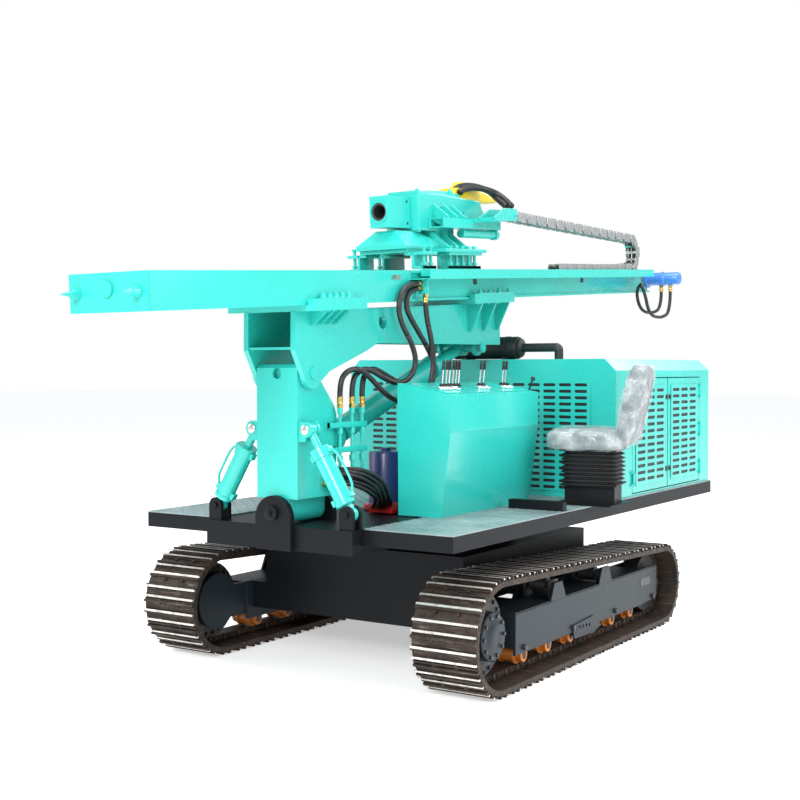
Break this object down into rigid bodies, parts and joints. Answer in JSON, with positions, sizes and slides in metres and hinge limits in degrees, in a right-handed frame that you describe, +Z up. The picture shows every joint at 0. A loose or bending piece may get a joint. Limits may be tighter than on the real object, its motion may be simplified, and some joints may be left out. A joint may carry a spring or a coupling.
{
  "type": "crawler pile driver rig",
  "caption": "Pile driver rig on crawler tracks, with a tilting post, a raising carrier, a sliding mast and drive head, an engine hood, an operator console and a seat.",
  "frame": {"origin": "bottom centre of the bounding box, on the ground", "axes": "+Z up, the mast foot is at the -Y end, the console and seat are on the +X side"},
  "size_m": [2.2717, 5.4031, 2.5893],
  "materials": {
    "teal_paint": "satin",
    "dark_frame_paint": "satin",
    "mast_paint": "satin",
    "track_steel": "worn",
    "roller_paint": "satin",
    "cylinder_paint": "satin",
    "chrome_rod": "polished",
    "yellow_motor": "satin",
    "blue_motor": "satin",
    "plastic_chain": "matte",
    "seat_skin": "covered with clear film",
    "bellows_rubber": "matte",
    "black_plastic": "matte",
    "steel": "satin",
    "engine_iron": "rough"
  },
  "bodies": {
    "chassis": {"carrier_rollers_left": "roller_paint", "carrier_rollers_right": "roller_paint", "clevis_left": "dark_frame_paint", "clevis_right": "dark_frame_paint", "console": "teal_paint", "cross_frame": "dark_frame_paint", "deck": "dark_frame_paint", "drive_wheel_left": "track_steel", "drive_wheel_right": "track_steel", "engine_block": "engine_iron", "hood": "teal_paint", "idler_left": "track_steel", "idler_right": "track_steel", "levers": "black_plastic", "muffler": "black_plastic", "platform_frame": "dark_frame_paint", "rollers_left": "roller_paint", "rollers_right": "roller_paint", "seat": "seat_skin", "seat_base": "black_plastic", "seat_bellows": "bellows_rubber", "seat_bracket": "dark_frame_paint", "track_frame_left": "dark_frame_paint", "track_frame_right": "dark_frame_paint", "track_left": "track_steel", "track_right": "track_steel", "trunnion": "dark_frame_paint"},
    "post": {"post": "dark_frame_paint"},
    "tilt_right_barrel": {"tilt_right_barrel": "cylinder_paint"},
    "tilt_right_rod": {"tilt_right_rod": "chrome_rod"},
    "tilt_left_barrel": {"tilt_left_barrel": "cylinder_paint"},
    "tilt_left_rod": {"tilt_left_rod": "chrome_rod"},
    "carrier": {"carrier": "teal_paint"},
    "lift_barrel": {"lift_barrel": "cylinder_paint"},
    "lift_rod": {"lift_rod": "chrome_rod"},
    "mast": {"mast": "mast_paint", "mast_foot": "mast_paint", "tray": "mast_paint", "feed_motor": "blue_motor"},
    "head": {"head_carriage": "mast_paint", "gearbox": "mast_paint", "head_motor": "yellow_motor", "chain_arm": "mast_paint", "drag_chain": "plastic_chain"},
    "spindle": {"spindle": "steel"},
    "hood_door_front": {"hood_door_front": "teal_paint"},
    "hood_door_rear": {"hood_door_rear": "teal_paint"}
  },
  "joints": [
    {"name": "post_tilt", "type": "hinge", "parent": "chassis", "child": "post", "pos_m": [-0.105, -0.085, 0.858], "axis": [0, 1, 0], "range_deg": [-10, 10]},
    {"name": "tilt_right_barrel_swing", "type": "hinge", "parent": "chassis", "child": "tilt_right_barrel", "pos_m": [0.3, -0.085, 0.868], "axis": [0, 1, 0], "range_deg": [-5.68, 5.68]},
    {"name": "tilt_right_rod_stroke", "type": "slide", "parent": "tilt_right_barrel", "child": "tilt_right_rod", "axis": [-0.5202, 0, 0.854], "range_m": [-0.06169, 0.06169]},
    {"name": "tilt_left_barrel_swing", "type": "hinge", "parent": "chassis", "child": "tilt_left_barrel", "pos_m": [-0.51, -0.085, 0.868], "axis": [0, 1, 0], "range_deg": [-5.68, 5.68]},
    {"name": "tilt_left_rod_stroke", "type": "slide", "parent": "tilt_left_barrel", "child": "tilt_left_rod", "axis": [0.5202, 0, 0.854], "range_m": [-0.06169, 0.06169]},
    {"name": "carrier_raise", "type": "hinge", "parent": "post", "child": "carrier", "pos_m": [-0.105, -1.42, 1.534], "axis": [1, 0, 0], "range_deg": [0, 90]},
    {"name": "lift_barrel_swing", "type": "hinge", "parent": "post", "child": "lift_barrel", "pos_m": [-0.105, -1.08, 1.2], "axis": [1, 0, 0], "range_deg": [0, 83.77]},
    {"name": "lift_rod_stroke", "type": "slide", "parent": "lift_barrel", "child": "lift_rod", "axis": [0, 0.9395, 0.3425], "range_m": [0, 0.64815]},
    {"name": "mast_slide", "type": "slide", "parent": "carrier", "child": "mast", "axis": [0, 0.9979, 0.0654], "range_m": [-0.24, 0.5]},
    {"name": "head_slide", "type": "slide", "parent": "mast", "child": "head", "axis": [0, 0.9979, 0.0654], "range_m": [-1.4, 0.2]},
    {"name": "spindle_turn", "type": "hinge", "parent": "head", "child": "spindle", "pos_m": [-0.105, -0.45419, 2.41835], "axis": [0, 0.9979, 0.0654], "continuous": true},
    {"name": "hood_door_front_hinge", "type": "hinge", "parent": "chassis", "child": "hood_door_front", "pos_m": [0.833, 0.68, 1.157], "axis": [0, 0, -1], "range_deg": [0, 100]},
    {"name": "hood_door_rear_hinge", "type": "hinge", "parent": "chassis", "child": "hood_door_rear", "pos_m": [0.833, 1.817, 1.157], "axis": [0, 0, 1], "range_deg": [0, 110]}
  ],
  "couplings": [
    {"joint": "tilt_right_barrel_swing", "follows": "post_tilt", "ratio": 0.5631},
    {"joint": "tilt_right_rod_stroke", "follows": "post_tilt", "m_per_rad": -0.35062},
    {"joint": "tilt_left_barrel_swing", "follows": "post_tilt", "ratio": 0.5631},
    {"joint": "tilt_left_rod_stroke", "follows": "post_tilt", "m_per_rad": 0.35062},
    {"joint": "lift_barrel_swing", "follows": "carrier_raise", "ratio": 0.9302},
    {"joint": "lift_rod_stroke", "follows": "carrier_raise", "m_per_rad": 0.41231}
  ]
}
